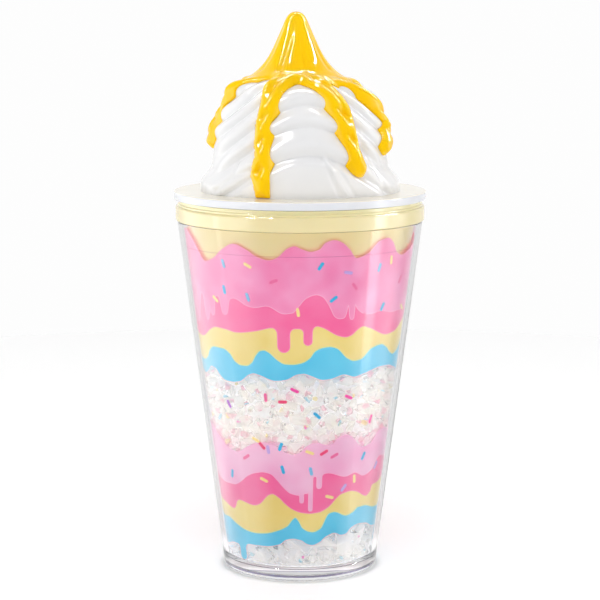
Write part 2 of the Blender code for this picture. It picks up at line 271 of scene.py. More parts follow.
# points near the ends of a long run keep its shading flat
def withSupports(points, closed, reach=0.0005, longRun=0.003):
    supported = []
    for place, here in enumerate(points):
        supported.append(here)
        span = points[(place + 1) % len(points)] - here
        if span.length > longRun and (closed or place + 1 < len(points)):
            supported += [here + span.normalized() * reach, here + span.normalized() * (span.length - reach)]
    return supported


def turned(name, corners, material, turnSteps=192, arcSteps=5):
    points = withSupports(roundedOutline(corners, arcSteps), closed=corners[0][0] > 0)
    turns = np.radians(np.arange(turnSteps) * 360 / turnSteps)
    rings = []
    for radius, height in points:
        if radius == 0:
            rings.append(np.array([[0, 0, height]]))
        else:
            rings.append(aroundAxis(radius, turns, height))
    return ringMesh(name, rings, material, closed=corners[0][0] > 0)


def smoothstep(low, high, value):
    share = np.clip((value - low) / (high - low), 0, 1)
    return share * share * (3 - 2 * share)


# Camera and studio

cameraForm = {"distance": 0.8513, "height": 0.2422, "lookDown": 8.70, "focalPixels": 2070, "framePixels": 600}


def placeCamera():
    data = bpy.data.cameras.new("camera")
    data.sensor_fit = "HORIZONTAL"
    data.sensor_width = 36
    data.lens = data.sensor_width * cameraForm["focalPixels"] / cameraForm["framePixels"]
    data.clip_start = 0.01
    camera = addObject("camera", data)
    camera.location = (0, -cameraForm["distance"], cameraForm["height"])
    camera.rotation_euler = (math.radians(90 - cameraForm["lookDown"]), 0, 0)
    bpy.context.scene.camera = camera


studio = {
    "aim": (0, 0, 0.17),
    "lamps": (  # name, place, width, length, brightness, whether it is only a highlight
        ("topLight", (0.0, -0.45, 1.05), 0.8, 0.8, 2.4, False),
        ("frontFill", (0.0, -1.10, 0.06), 1.0, 0.3, 2.65, False),
        ("leftStrip", (-0.53, -0.42, 0.96), 0.13, 0.70, 74.0, True),
        ("rightStrip", (0.81, 0.19, 0.78), 0.12, 0.70, 80.0, True),
        ("topStrip", (0.05, 0.30, 1.05), 0.60, 0.10, 60.0, True),
    ),
    "room": 0.33,                        # brightness of the surroundings where no panel stands
    # degrees from the front where each panel begins, is full, fades and ends; its brightness;
    # the slopes below which it fades, and the share that is left there
    "panels": (
        (-146, -112, -62, -32, 3.0, (-0.44, -0.30), 0.40),   # broad, at the left
        (-88, -85, -82, -79, 2.0, (-0.36, -0.26), 0.20),     # a slim one in front of it
        (48, 76, 100, 126, 2.6, (-0.44, -0.30), 0.75),       # broad, at the right
        (70, 74, 79, 90, 4.2, (-0.41, -0.32), 0.20),         # a slim one in front of it
    ),
    "panelShares": (0.15, 0.75),         # how much of them clear plastic lets through, and matte things get
    "panelTop": (0.02, 0.30), "panelFoot": (-0.70, -0.46),   # slopes above and below which they fade
    "back": 0.67, "backFrom": (110, 140),                    # more light behind, from these degrees on
    "throughPlastic": 0.74,              # the surroundings as clear plastic shows them
    "throughCamera": 0.985,              # and as the camera sees them
    "floorRadius": 0.6,
    "floorGlow": 0.335, "paintedShadowRadius": (0.0318, 0.0354),    # what the camera sees, and where it sets in, leaving a painted contact shadow by the foot
    "floorUnder": 0.48, "floorThrough": 0.04, "paintedPoolRadius": (0.0480, 0.0640),   # as clear plastic shows it, brighter under the cup: a painted pool of light
}


def lightStudio():
    for name, place, width, length, brightness, onlyHighlight in studio["lamps"]:
        data = bpy.data.lights.new(name, "AREA")
        data.shape = "RECTANGLE"
        data.size = width
        data.size_y = length
        data.energy = brightness * math.pi * width * length
        light = addObject(name, data)
        light.location = place
        light.rotation_euler = (Vector(studio["aim"]) - Vector(place)).to_track_quat("-Z", "Y").to_euler()
        light.visible_glossy = onlyHighlight
        light.visible_diffuse = not onlyHighlight
        light.visible_transmission = False
    bpy.context.scene.view_settings.view_transform = "Standard"
    bpy.context.scene.cycles.transparent_max_bounces = 32


def surroundings():  # pale room with soft bright panels at both sides; the camera sees plain white
    world = bpy.data.worlds.new("surroundings")
    world.use_nodes = True
    tree = world.node_tree
    tree.nodes.clear()
    direction = addNode(tree, "ShaderNodeTexCoord").outputs["Generated"]
    x, y, z = addNode(tree, "ShaderNodeSeparateXYZ", {0: direction}).outputs
    turn = maths(tree, "ARCTAN2", x, maths(tree, "MULTIPLY", y, -1))
    either = maths(tree, "ABSOLUTE", turn)
    path = addNode(tree, "ShaderNodeLightPath").outputs
    through, lighting = [1 - share for share in studio["panelShares"]]
    shown = maths(tree, "MULTIPLY_ADD", path["Is Transmission Ray"], -through, 1)
    shown = maths(tree, "MULTIPLY_ADD", path["Is Diffuse Ray"], -lighting, shown)
    shown = maths(tree, "MULTIPLY", fade(tree, z, *studio["panelTop"], 1, 0), shown)
    shown = maths(tree, "MULTIPLY", fade(tree, z, *studio["panelFoot"], 0, 1), shown)
    back = fade(tree, either, *np.radians(studio["backFrom"]), 0, studio["back"])
    lit = maths(tree, "ADD", back, studio["room"])
    for begins, full, fades, ends, brightness, foot, left in studio["panels"]:
        rise = fade(tree, turn, *np.radians((begins, full)), 0, brightness)
        fall = fade(tree, turn, *np.radians((fades, ends)), 1, 0)
        upright = maths(tree, "MULTIPLY", shown, fade(tree, z, *foot, left, 1))
        lit = maths(tree, "MULTIPLY_ADD", maths(tree, "MULTIPLY", rise, fall), upright, lit)
    refracted = addNode(tree, "ShaderNodeMix", {
        0: path["Is Transmission Ray"], 2: lit,
        3: maths(tree, "MULTIPLY", lit, studio["throughPlastic"])}, data_type="FLOAT")
    seen = addNode(tree, "ShaderNodeMix", {
        0: path["Is Camera Ray"], 2: refracted.outputs[0],
        3: studio["throughCamera"]}, data_type="FLOAT")
    glow = addNode(tree, "ShaderNodeBackground", {"Color": (1, 1, 1, 1), "Strength": seen.outputs[0]})
    addNode(tree, "ShaderNodeOutputWorld", {0: glow.outputs[0]})
    bpy.context.scene.world = world


def layFloor():  # a round white table; its glow keeps the background plain, fades out by the foot as a painted contact shadow and is stronger under the cup as a painted pool of light
    made, tree, place = startMaterial("matteBackdrop")
    paper = addNode(tree, "ShaderNodeBsdfDiffuse", {
        "Color": twoTone(tree, place, "F2F2F2", "F4F4F4", scale=4)})
    path = addNode(tree, "ShaderNodeLightPath").outputs
    fromAxis = addNode(tree, "ShaderNodeVectorMath", {0: place}, operation="LENGTH").outputs["Value"]
    # the glow sets in away from the foot: a painted contact shadow
    straight = fade(tree, fromAxis, *studio["paintedShadowRadius"], 0, studio["floorGlow"])
    # through clear plastic the table glows brighter under the cup: a painted pool of light
    through = fade(tree, fromAxis, *studio["paintedPoolRadius"], studio["floorUnder"], studio["floorThrough"])
    straight = maths(tree, "MULTIPLY", path["Is Camera Ray"], straight)
    strength = maths(tree, "MULTIPLY_ADD", path["Is Transmission Ray"], through, straight)
    glow = addNode(tree, "ShaderNodeEmission", {"Color": (1, 1, 1, 1), "Strength": strength})
    both = addNode(tree, "ShaderNodeAddShader", {0: paper.outputs[0], 1: glow.outputs[0]})
    endMaterial(tree, both.outputs[0])
    mesh = bmesh.new()
    bmesh.ops.create_circle(mesh, cap_ends=True, segments=96, radius=studio["floorRadius"])
    data = bpy.data.meshes.new("table")
    mesh.to_mesh(data)
    mesh.free()
    data.materials.append(made)
    floor = addObject("table", data)
    floor.visible_glossy = False


placeCamera()
lightStudio()
surroundings()
layFloor()
print("camera, lights and backdrop")

# Clear shell

shellForm = {
    "footRadius": 0.03184, "slope": 0.1291, "wall": 0.0020, "floor": 0.0060, "top": 0.1459,
    "footCorner": 0.0016, "innerCorner": 0.0015, "edgeCorner": 0.0003, "topCorner": 0.0001,
    "recess": 0.0026, "recessRadius": 0.0292, "recessCorner": 0.0007,
    "weldHeight": 0.0056, "weldDepth": 0.00012,
}

paintedShellLines = (  # height, half width and colour of painted lines: painted shade where the foot edge and the welded base refract, and a faint pinkish painted line for the refraction at a small step in the wall
    (0.0021, 0.00026, "6C6484"), (0.0056, 0.00014, "A89CC4"), (0.1363, 0.00012, "E8D4E0"),
)


def wallRadius(height):
    return shellForm["footRadius"] + shellForm["slope"] * height


def makeShell():
    form = shellForm
    weld = form["weldHeight"]
    shell = turned("clearShell", (
        (0, form["recess"], 0),
        (form["recessRadius"], form["recess"], form["recessCorner"]),
        (form["recessRadius"], 0, form["edgeCorner"]),
        (form["footRadius"], 0, form["footCorner"]),
        (wallRadius(weld - form["weldDepth"]), weld - form["weldDepth"], 0),
        (wallRadius(weld) - form["weldDepth"], weld, 0),
        (wallRadius(weld + form["weldDepth"]), weld + form["weldDepth"], 0),
        (wallRadius(form["top"]), form["top"], form["topCorner"]),
        (wallRadius(form["top"]) - form["wall"], form["top"], form["edgeCorner"]),
        (wallRadius(form["floor"]) - form["wall"], form["floor"], form["innerCorner"]),
        (0, form["floor"], 0),
    ), clearAcrylic(paintedShellLines))
    keep(shell, "clear_shell", "outer_shell")


makeShell()
print("clear shell")

# Printed film: poured layers of colour that meet along wavy edges, twice round the cup

printForm = {
    "outerInset": 0.00236, "innerInset": 0.00250, "period": 180, "columns": 2000,
    "dripBlend": 0.00025, "lift": 0.0004,
    "middle": 0.08, "samples": 14401,    # where and how finely the edges are measured
}
printEdges = {  # (turn, height) along each edge; (turn, lowest point, half width, fillet) of its drips; mm
    "palePinkTop": (((-82, 141.0), (-71, 143.9), (-62, 139.5), (-53, 132.0), (-47, 133.5), (-40, 137.7),
                     (-33, 140.3), (-26, 138.2), (-21, 135.6), (-15, 134.4), (-11, 135.5), (-5.6, 139.4),
                     (-2.7, 140.2), (1, 139.0), (5, 138.0), (9, 138.8), (12, 141.5), (16, 142.5),
                     (20, 141.4), (24, 138.5), (28, 134.8), (34, 136.3), (41, 141.1), (46, 141.9),
                     (50, 139.9), (54, 135.5), (59, 133.9), (66, 135.5), (84, 139.6)), ()),
    "pinkTop": (((-84, 113.0), (-75.5, 111.3), (-74.4, 108.3), (-72.5, 105.9), (-69.3, 105.7),
                 (-66.6, 106.4), (-64.6, 110.1), (-62.3, 115.6), (-61.1, 117.8), (-59.9, 118.5),
                 (-58.9, 117.9), (-58.5, 116.0), (-58.3, 112.5), (-57.9, 109.2), (-57.0, 107.5),
                 (-55.6, 108.3), (-54.3, 110.9), (-53.3, 111.3), (-52.2, 110.2), (-51.0, 110.0),
                 (-50.1, 110.8), (-49.4, 114.2), (-48.3, 117.3), (-46.5, 118.6), (-45.0, 117.4),
                 (-44.5, 115.0), (-44.1, 112.6), (-43.4, 111.4), (-42.3, 111.0), (-40.9, 111.4),
                 (-39.8, 113.2), (-39.0, 116.0), (-37.7, 117.6), (-35.7, 118.2), (-33.9, 118.0),
                 (-32.2, 117.5), (-29.3, 116.0), (-26.4, 115.3), (-23.6, 115.0), (-17, 115.9), (-8, 112.9),
                 (-4, 113.3), (-1, 115.7), (3, 119.3), (8, 120.7), (11.1, 120.0), (14.1, 117.2),
                 (16.2, 114.1), (17.8, 111.8), (19.6, 110.8), (21.4, 110.5), (23.2, 110.9), (24.1, 112.1),
                 (24.6, 114.2), (25.0, 115.8), (25.6, 114.6), (26.1, 112.0), (26.7, 110.4), (27.7, 109.9),
                 (28.6, 110.5), (28.8, 113.0), (28.9, 115.2), (29.2, 115.9), (30.0, 114.9), (31.8, 113.3),
                 (33.7, 112.3), (36.1, 111.7), (38.6, 111.5), (41.1, 111.7), (44.4, 112.2), (48.0, 112.1),
                 (52.1, 111.4), (56.6, 110.9), (61.6, 111.1), (67.9, 111.0), (72.4, 111.8), (80, 112.6)),
                ()),
    "yellowTop": (((-79, 101.8), (-65, 100.4), (-54, 104.5), (-50, 105.4), (-43, 105.1), (-36, 104.3),
                   (-24, 105.5), (-14, 107.2), (-2, 107.0), (8.2, 108.1), (11.2, 107.5), (21, 103.6),
                   (25, 103.0), (28, 103.6), (32, 105.9), (35, 106.9), (39, 106.0), (53, 102.1),
                   (60, 102.6), (74, 107.4)), ((-8.6, 97.0, 2.70, 2.5), (4.2, 99.8, 1.90, 2.5))),
    "blueTop": (((-82, 93.2), (-67, 90.2), (-62, 91.8), (-59, 94.8), (-54, 96.8), (-46, 96.7), (-41, 94.8),
                 (-38, 92.0), (-34, 90.7), (-31, 90.7), (-27.5, 92.1), (-24.7, 95.3), (-22.1, 97.3),
                 (-19.5, 97.7), (-16.5, 96.7), (-12, 93.8), (-8, 92.3), (-4, 92.2), (1, 92.9), (5, 94.7),
                 (8, 97.6), (12, 99.0), (16, 99.3), (20, 98.5), (27, 93.9), (31, 92.8), (35, 93.2),
                 (42, 97.2), (49, 98.2), (55, 96.3), (58, 94.3), (62, 92.9), (67, 94.0), (76, 98.6)), ()),
    "iceTop": (((-81, 86.9), (-68, 84.2), (-64, 85.2), (-59, 87.9), (-55, 87.4), (-51, 84.8), (-47, 83.2),
                (-42, 83.0), (-36, 83.7), (-29.2, 87.0), (-26.3, 87.6), (-23, 87.1), (-14, 85.1),
                (-8, 85.6), (-0.8, 88.0), (2.2, 88.2), (6, 87.3), (13, 85.5), (17, 85.7), (25, 87.2),
                (32, 85.9), (37, 86.6), (51, 88.6), (58, 88.4), (66, 86.8), (80, 83.4)), ()),
    "lowPaleTop": (((-84, 62.0), (-74, 62.5), (-58, 57.3), (-51, 54.4), (-44, 53.4), (-34, 56.5),
                    (-28, 58.3), (-22, 58.9), (-17, 58.3), (-8, 54.7), (-4, 54.2), (0, 55.2), (4, 57.7),
                    (8, 59.0), (11, 59.1), (17, 57.9), (20.8, 58.5), (23.6, 60.6), (29, 61.8), (33, 60.9),
                    (40, 56.3), (43, 55.4), (49, 56.1), (58, 61.2), (64, 61.5), (75, 58.6)), ()),
    "lowPinkTop": (((-76, 43.4), (-58, 39.4), (-49, 39.5), (-43, 41.2), (-36, 44.5), (-30, 46.1),
                    (-24, 46.8), (-19, 46.2), (-15, 43.9), (-10, 40.3), (-6, 38.3), (-1, 37.6),
                    (3.0, 38.3), (4.9, 38.3), (5.9, 43.2), (8.5, 45.3), (14, 46.3), (18, 46.7), (31, 44.5),
                    (38, 45.6), (46, 43.6), (53, 45.0), (62, 50.3), (74, 48.6)),
                   ((1.1, 34.0, 0.80, 0.8), (7.0, 30.3, 0.80, 0.8), (12.6, 39.7, 1.05, 1.5))),
    "lowYellowTop": (((-81, 32.8), (-61, 29.4), (-52.7, 28.1), (-50.4, 29.0), (-48.3, 31.5), (-45.7, 32.5),
                      (-33, 31.3), (-29, 32.0), (-20.8, 36.6), (-18.5, 37.0), (-14, 35.5), (-10, 33.0),
                      (-5, 30.8), (1, 29.4), (7, 29.0), (13, 29.4), (19, 31.1), (29, 36.5), (36, 37.2),
                      (41, 36.5), (51, 33.7), (55.2, 35.1), (56.6, 37.7), (63, 38.1), (70, 39.3),
                      (78, 40.2)), ()),
    "lowBlueTop": (((-80, 26.8), (-68, 23.7), (-61, 23.8), (-51, 21.7), (-42, 20.0), (-34, 19.5),
                    (-26, 19.9), (-16, 21.6), (-9, 23.8), (-5.5, 26.5), (-3.2, 27.5), (-1.0, 26.2),
                    (2, 23.0), (6.1, 21.5), (8.9, 21.2), (14, 22.4), (20, 28.7), (24, 29.3), (34, 27.1),
                    (39, 28.0), (44, 29.8), (50, 29.8), (62, 27.9), (68, 27.7), (80, 29.6)), ()),
    "lowIceTop": (((-82, 14.6), (-70, 11.4), (-57, 13.2), (-51, 13.1), (-39, 14.2), (-25, 14.5),
                   (-15, 15.8), (-10, 17.9), (-5, 18.5), (1, 17.8), (5, 16.2), (9, 15.7), (14, 16.7),
                   (19, 19.1), (25, 20.3), (31, 19.0), (35, 19.2), (39, 21.4), (46, 22.5), (54, 22.0),
                   (63, 19.7), (76, 18.6)), ((-47.2, 6.6, 1.90, 1.8), (73.5, 11.9, 1.30, 1.5))),
}
printBands = (  # colour, upper edge, lower edge
    ("palePink", "palePinkTop", "pinkTop"), ("deepPink", "pinkTop", "yellowTop"),
    ("yellow", "yellowTop", "blueTop"), ("blue", "blueTop", "iceTop"),
    ("lilacPink", "lowPaleTop", "lowPinkTop"), ("deepPink", "lowPinkTop", "lowYellowTop"),
    ("yellow", "lowYellowTop", "lowBlueTop"), ("blue", "lowBlueTop", "lowIceTop"),
)
inkColours = {
    "palePink": ("F67CB2", "FA98C6"), "lilacPink": ("F8A6D0", "FCC0DF"), "deepPink": ("FB5A9C", "FD72AA"),
    "yellow": ("F2D672", "F6E088"), "blue": ("42C6EC", "5ED2F4"),
}
outlineForm = {"outerInset": 0.00233, "innerInset": 0.00235}
outlines = {  # edges, reach above and below them, colours
    "pinkLine": (("pinkTop", "lowPinkTop"), 0.00006, 0.00018, "FDB4D6", "FEC0DC"),
    "peachLine": (("iceTop", "lowIceTop"), 0.00005, 0.00025, "F6C6CC", "FAD4D4"),
    "rosyLine": (("yellowTop", "lowYellowTop"), 0.00038, 0.0, "FF7CB8", "FF88C0"),
    "limeLine": (("blueTop", "lowBlueTop"), 0.00005, 0.00028, "DCE4A0", "E6EAB0"),
    "roseLine": (("palePinkTop",), 0.00005, 0.00025, "F59CB8", "F8A8C0"),
}


def waveHeight(points, turns, period):  # level at each crest and trough, smooth between them
    knots = np.array(points, float)
    knots = np.concatenate([knots - (period, 0), knots, knots + (period, 0)])
    x, y = knots.T
    rise = np.diff(y) / np.diff(x)
    before, after = rise[:-1], rise[1:]
    same = before * after > 0
    slope = np.zeros_like(y)
    slope[1:-1][same] = 2 * before[same] * after[same] / (before + after)[same]
    turns = (turns - x[len(points)]) % period + x[len(points)]
    place = np.searchsorted(x, turns, side="right") - 1
    step = x[place + 1] - x[place]
    t = (turns - x[place]) / step
    return (y[place] * (1 + 2 * t) * (1 - t) ** 2 + y[place + 1] * t * t * (3 - 2 * t)
            + slope[place] * step * t * (1 - t) ** 2 + slope[place + 1] * step * t * t * (t - 1))


def edgeHeight(edge, turns):
    waves, drips = printEdges[edge]
    period = printForm["period"]
    height = waveHeight(waves, turns, period) / 1000
    blend = printForm["dripBlend"]
    for middle, lowest, halfWidth, fillet in drips:
        offset = (turns - middle + period / 2) % period - period / 2
        across = np.abs(np.radians(offset) * wallRadius(lowest / 1000)) * 1000
        end = lowest + halfWidth - np.sqrt(np.clip(halfWidth ** 2 - across ** 2, 0, None))
        beside = np.clip(fillet - (across - halfWidth), 0, fillet)
        shoulder = height * 1000 - fillet + np.sqrt(fillet ** 2 - beside ** 2)
        drop = np.where(across < halfWidth, end, shoulder) / 1000
        height = -blend * np.logaddexp(-height / blend, -drop / blend)
    return height + printForm["lift"]


def printColumns():  # closer together where any edge is steep, so that drips have round sides
    turns = np.linspace(-180, 180, printForm["samples"])
    run = np.abs(np.diff(np.radians(turns))) * wallRadius(printForm["middle"])
    length = sum(np.hypot(run, np.diff(edgeHeight(edge, turns))) for edge in printEdges)
    along = np.concatenate([[0], np.cumsum(length)])
    return np.interp(np.linspace(0, along[-1], printForm["columns"], endpoint=False), along, turns)


def onFilm(turns, heights, inset):
    return aroundAxis(wallRadius(heights) - inset, np.radians(turns), heights)


def filmStrip(name, upper, lower, form, ink):  # a closed strip between two edges, each (turns, heights)
    rings = [onFilm(*edge, form[inset]) for edge, inset in (
        (upper, "outerInset"), (lower, "outerInset"), (lower, "innerInset"), (upper, "innerInset"))]
    keep(ringMesh(name, rings, ink, closed=True), "printed_film", "print_sleeve")


def makePrint():
    columns = printColumns()
    for colour, (low, high) in inkColours.items():
        ink = screenInk(colour + "Ink", low, high)
        for upper, lower in [(a, b) for name, a, b in printBands if name == colour]:
            level = "Low" if upper.startswith("low") else ""
            upperEdge = columns, edgeHeight(upper, columns)
            lowerEdge = columns, edgeHeight(lower, columns)
            filmStrip("print" + capital(colour) + level, upperEdge, lowerEdge, printForm, ink)


def besideEdge(turns, heights, distance):  # the edge moved sideways along the film, above it where positive
    radius = wallRadius(heights)
    run = np.radians((np.roll(turns, -1) - np.roll(turns, 1)) % 360) * radius
    rise = np.roll(heights, -1) - np.roll(heights, 1)
    length = np.hypot(run, rise)
    return turns - np.degrees(rise / length * distance / radius), heights + run / length * distance


def makeOutlines():  # hair-thin lines of another ink where the colours meet
    columns = printColumns()
    for name, (edges, above, below, low, high) in outlines.items():
        ink = screenInk(name + "Ink", low, high)
        for edge in edges:
            height = edgeHeight(edge, columns)
            upper = besideEdge(columns, height, above)
            lower = besideEdge(columns, height, -below)
            filmStrip(name + capital(edge), upper, lower, outlineForm, ink)


makePrint()
makeOutlines()
print("printed film")


def newTree(name, sockets):  # a geometry tree with named inputs
    tree = bpy.data.node_groups.new(name, "GeometryNodeTree")
    tree.interface.new_socket("Geometry", in_out="INPUT", socket_type="NodeSocketGeometry")
    for label, kind in sockets:
        tree.interface.new_socket(label, in_out="INPUT", socket_type="NodeSocket" + kind)
    tree.interface.new_socket("Geometry", in_out="OUTPUT", socket_type="NodeSocketGeometry")
    return tree, addNode(tree, "NodeGroupInput").outputs


def endTree(tree, placed, material):  # the placed shapes become one mesh of one material
    real = addNode(tree, "GeometryNodeRealizeInstances", {"Geometry": placed.outputs[0]})
    painted = addNode(tree, "GeometryNodeSetMaterial", {"Geometry": real.outputs[0], "Material": material})
    addNode(tree, "NodeGroupOutput", {0: painted.outputs[0]})
    return tree


def grow(name, base, tree, values):  # runs a tree on a base mesh and keeps the result as a plain mesh
    source = addObject(name + "Base", base)
    modifier = source.modifiers.new("grow", "NODES")
    modifier.node_group = tree
    for item in tree.interface.items_tree:
        if item.in_out == "INPUT" and item.name in values:
            modifier[item.identifier] = values[item.name]
    depsgraph = bpy.context.evaluated_depsgraph_get()
    grown = bpy.data.meshes.new_from_object(source.evaluated_get(depsgraph), depsgraph=depsgraph)
    source.modifiers.remove(modifier)
    bpy.data.objects.remove(source)
    grown.name = name
    return addObject(name, grown)


# Sprinkles: small flat rods printed on the film

sprinkleForm = {
    "length": 0.0037, "width": 0.00125, "thickness": 0.00012, "inset": 0.00236,
    "rounding": 0.499, "arcSteps": 5,    # share of the width that rounds an end, and in how many steps
    "weld": 1e-7,                        # points closer than this are joined
}
sprinkleColours = {
    "blue": ("00AADC", "08B8E8"), "paleBlue": ("6EB6E2", "80C2E8"), "yellow": ("FBDD88", "FCE49A"),
    "rose": ("F0609C", "F46EA6"), "magenta": ("F4289E", "F840AC"), "red": ("F02A6C", "F43E7A"),
    "purple": ("A63CC4", "B24ECC"), "lilac": ("C09AE0", "CAA8E6"),
}
sprinkles = {  # (turn, height in mm, tilt from upright)
    "blue": ((10, 132.1, 32), (-41, 121.2, -8), (17, 118.6, 52), (47, 113.7, 25), (10, 70.7, -48),
             (-12, 57.5, 20), (44, 51.5, 24), (-50, 43.4, 12), (-11, 47.8, -14)),
    "paleBlue": ((-27, 119.0, -16), (-40, 131.9, -15), (42, 130.1, 16), (7, 47.2, -12)),
    "yellow": ((-26, 131.9, -62), (-1, 113.5, -8), (66, 111.8, -50), (-48, 116.8, -50), (-28, 59.7, -62),
               (6, 55.2, -68), (-24, 42.9, -66), (38, 42.3, -6), (20, 35.8, -72), (50, 132.6, -4)),
    "rose": ((-13, 125.9, 68), (28, 123.3, -38), (36, 110.5, -28), (-20, 77.9, -4), (22, 53.3, 62),
             (-36, 51.8, 56), (60, 123.8, 30)),
    "magenta": ((-3, 81.3, -64), (29, 77.6, -64), (47, 66.9, 16)),
    "red": ((-10, 76.4, 88), (-24, 57.4, -40), (15, 54.9, 58)),
    "purple": ((-46, 73.3, -28),),
    "lilac": ((24, 129.1, -80), (58, 46.1, 30), (30, 39.1, 36), (-20, 56.0, -8)),
}


def sprinkleTree():
    tree, given = newTree("printedSprinkles", (
        ("Length", "Float"), ("Width", "Float"), ("Thickness", "Float"), ("Material", "Material")))
    nearlyHalf = maths(tree, "MULTIPLY", given["Width"], sprinkleForm["rounding"])
    outline = addNode(tree, "GeometryNodeCurvePrimitiveQuadrilateral", {
        "Width": given["Width"], "Height": given["Length"]})
    ends = addNode(tree, "GeometryNodeFilletCurve", {
        "Curve": outline.outputs[0], "Count": sprinkleForm["arcSteps"], "Radius": nearlyHalf}, mode="POLY")
    flat = addNode(tree, "GeometryNodeFillCurve", {"Curve": ends.outputs[0]}, mode="NGONS")
    raised = addNode(tree, "GeometryNodeExtrudeMesh", {
        "Mesh": flat.outputs[0], "Offset Scale": given["Thickness"], "Individual": False})
    under = addNode(tree, "GeometryNodeFlipFaces", {"Mesh": flat.outputs[0]})
    rod = addNode(tree, "GeometryNodeJoinGeometry")
    tree.links.new(raised.outputs["Mesh"], rod.inputs[0])
    tree.links.new(under.outputs[0], rod.inputs[0])
    whole = addNode(tree, "GeometryNodeMergeByDistance", {
        "Geometry": rod.outputs[0], "Distance": sprinkleForm["weld"]})
    facing = addNode(tree, "GeometryNodeInputNamedAttribute", {"Name": "facing"}, data_type="FLOAT_VECTOR")
    placed = addNode(tree, "GeometryNodeInstanceOnPoints", {
        "Points": given["Geometry"], "Instance": whole.outputs[0], "Rotation": facing.outputs[0]})
    return endTree(tree, placed, given["Material"])


def sprinkleFacing(turn, tilt):  # flat on the film, tilted from upright
    lean = math.atan(shellForm["slope"])
    upright = Vector((0, 0, 1))
    outwards = Vector((math.sin(math.radians(turn)), -math.cos(math.radians(turn)), 0))
    outwards = (outwards * math.cos(lean) - upright * math.sin(lean)).normalized()
    sideways = upright.cross(outwards).normalized()
    along = outwards.cross(sideways)
    spin = math.radians(tilt)
    across = sideways * math.cos(spin) - along * math.sin(spin)
    basis = np.array([across, outwards.cross(across), outwards]).T
    return Matrix(basis.tolist()).to_euler()


def makeSprinkles():
    tree = sprinkleTree()
    for colour, marks in sprinkles.items():
        points = []
        facings = []
        for turn, height, tilt in marks:
            for here in (turn, turn + printForm["period"]):
                level = np.array(height / 1000 + printForm["lift"])
                points.append(onFilm(np.array(float(here)), level, sprinkleForm["inset"]))
                facings.append(sprinkleFacing(here, tilt))
        base = bpy.data.meshes.new(colour + "Points")
        base.from_pydata(np.array(points).tolist(), [], [])
        facing = base.attributes.new("facing", "FLOAT_VECTOR", "POINT")
        facing.data.foreach_set("vector", np.array(facings, np.float32).ravel())
        piece = grow("sprinkle" + capital(colour), base, tree, {
            "Length": sprinkleForm["length"], "Width": sprinkleForm["width"],
            "Thickness": sprinkleForm["thickness"],
            "Material": screenInk(colour + "SprinkleInk", *sprinkleColours[colour])})
        keep(piece, "printed_film", "print_sleeve")


makeSprinkles()
print("printed sprinkles")

# Inner cup, rim ring and lid

cupForm = {
    "footRadius": 0.0240, "topRadius": 0.0439, "bottom": 0.0140, "top": 0.1359, "wall": 0.0018,
    "footCorner": 0.0030, "insideCorner": 0.0024, "lipCorner": 0.0003, "turnSteps": 96,
    "finish": {  # milky and nearly dull
        "low": "F0F0F2", "high": "F6F6F8", "roughness": 0.30, "scatter": 0.1, "scatterHex": "FFFFFF"},
}
ringForm = {
    "collarRadius": 0.0450, "collarTopRadius": 0.04765, "collarBottom": 0.1305, "collarInside": 0.0442,
    "seat": 0.1362, "bore": 0.0424,
    "bandRadius": 0.0514, "bandBottom": 0.14605, "bandTop": 0.15195,
    "beadOut": 0.0004, "beadFoot": 0.0002, "beadHead": 0.0009, "neckFoot": 0.0012,   # a bead above the band
    "neckRadius": 0.0501, "neckTop": 0.15444, "mouthRadius": 0.0454, "mouthBottom": 0.1484,
    "corner": 0.0003, "fineCorner": 0.0002, "finestCorner": 0.0001,
    "bandFootCorner": 0.0005, "bandHeadCorner": 0.0009,
    "finish": {  # warm butter yellow with mirror-like highlights; painted shade deepens the collar under the band, painted light makes the neck paler under the lid
        "low": "EDDFAC", "high": "F1E4B4", "roughness": 0.0, "scatter": 0.30, "scatterHex": "FFE0A0",
        "gloss": 0.6, "paintedBands": ((0.1382, 0.0077, "EEDC9E"), (0.1534, 0.0012, "F8ECB8"))},
}
lidForm = {
    "radius": 0.0520, "bottom": 0.15474, "top": 0.15797, "plugRadius": 0.0450, "plugWall": 0.0020,
    "plugBottom": 0.1494, "edge": 0.0006, "corner": 0.0004, "underCorner": 0.0003, "insideCorner": 0.0005,
    "finish": {  # creamy white on top, with a soft sheen; the cooler grey on the edge is painted shade where it faces the dim front
        "low": "F1EAD8", "high": "F4EEE0", "roughness": 0.05, "scatter": 0.2, "scatterHex": "FFF0D8",
        "gloss": 0.35, "paintedBands": ((0.1561, 0.00165, "E6E8ED"),)},
}


def cupRadius(height):  # outside of the inner cup
    share = (height - cupForm["bottom"]) / (cupForm["top"] - cupForm["bottom"])
    return cupForm["footRadius"] + share * (cupForm["topRadius"] - cupForm["footRadius"])


def makeCup():
    form = cupForm
    cup = turned("innerCup", (
        (0, form["bottom"], 0),
        (form["footRadius"], form["bottom"], form["footCorner"]),
        (form["topRadius"], form["top"], form["lipCorner"]),
        (form["topRadius"] - form["wall"], form["top"], form["lipCorner"]),
        (form["footRadius"] - form["wall"], form["bottom"] + form["wall"], form["insideCorner"]),
        (0, form["bottom"] + form["wall"], 0),
    ), glossyPlastic("frostedPolypropylene", **form["finish"]), form["turnSteps"])
    keep(cup, "frosted_cup", "inner_cup")


